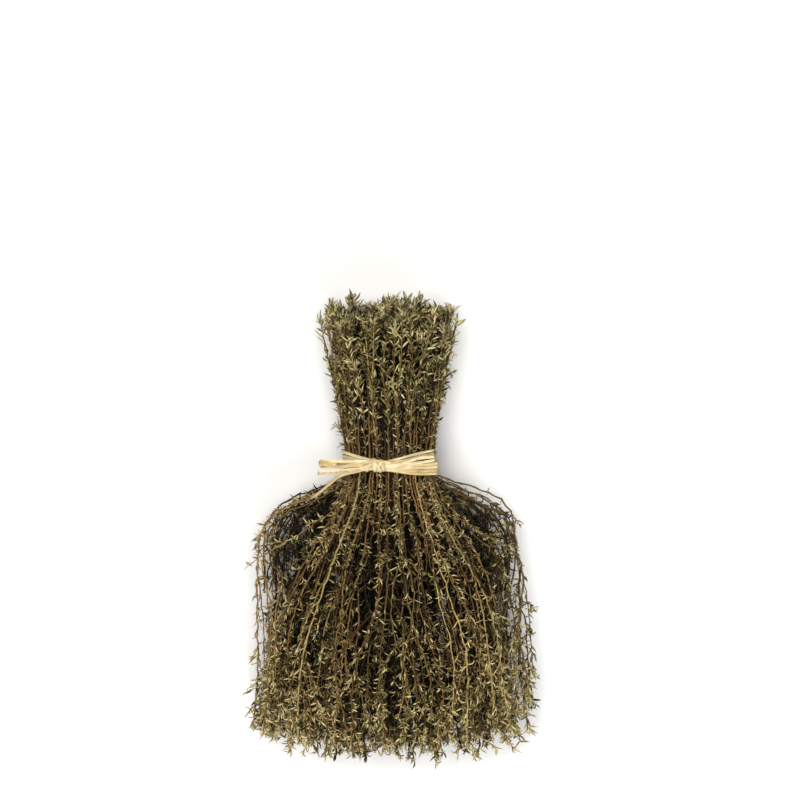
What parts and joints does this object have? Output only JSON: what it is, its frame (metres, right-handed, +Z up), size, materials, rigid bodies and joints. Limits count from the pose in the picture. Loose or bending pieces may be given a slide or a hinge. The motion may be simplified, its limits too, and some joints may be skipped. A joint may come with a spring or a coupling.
{
  "type": "dried thyme bundle",
  "caption": "Bundle of dried thyme sprigs laid both ways, tied at its narrow waist with raffia in a bow, lying flat with a bushy head and a flared skirt.",
  "frame": {"origin": "on the table, under the middle of the bundle", "axes": "+Y along the bundle towards its head, +X across it, +Z up through the bow"},
  "size_m": [0.1166, 0.1902, 0.0516],
  "materials": {
    "dried_thyme": "dry and matte, grey-olive leaves on brown stems",
    "raffia": "pale straw strands with a soft sheen and lengthwise grain"
  },
  "bodies": {
    "root": {"head_sprig_01": "dried_thyme", "head_sprig_02": "dried_thyme", "head_sprig_03": "dried_thyme", "head_sprig_04": "dried_thyme", "head_sprig_05": "dried_thyme", "head_sprig_06": "dried_thyme", "head_sprig_07": "dried_thyme", "head_sprig_08": "dried_thyme", "head_sprig_09": "dried_thyme", "head_sprig_10": "dried_thyme", "head_sprig_11": "dried_thyme", "skirt_sprig_01": "dried_thyme", "skirt_sprig_02": "dried_thyme", "skirt_sprig_03": "dried_thyme", "skirt_sprig_04": "dried_thyme", "skirt_sprig_05": "dried_thyme", "skirt_sprig_06": "dried_thyme", "skirt_sprig_07": "dried_thyme", "skirt_sprig_08": "dried_thyme", "skirt_sprig_09": "dried_thyme", "skirt_sprig_10": "dried_thyme", "skirt_sprig_11": "dried_thyme", "skirt_sprig_12": "dried_thyme", "skirt_sprig_13": "dried_thyme", "skirt_sprig_14": "dried_thyme", "skirt_sprig_15": "dried_thyme", "skirt_sprig_16": "dried_thyme", "skirt_sprig_17": "dried_thyme", "inner_bunch": "dried_thyme", "raffia_tie": "raffia"}
  },
  "joints": []
}
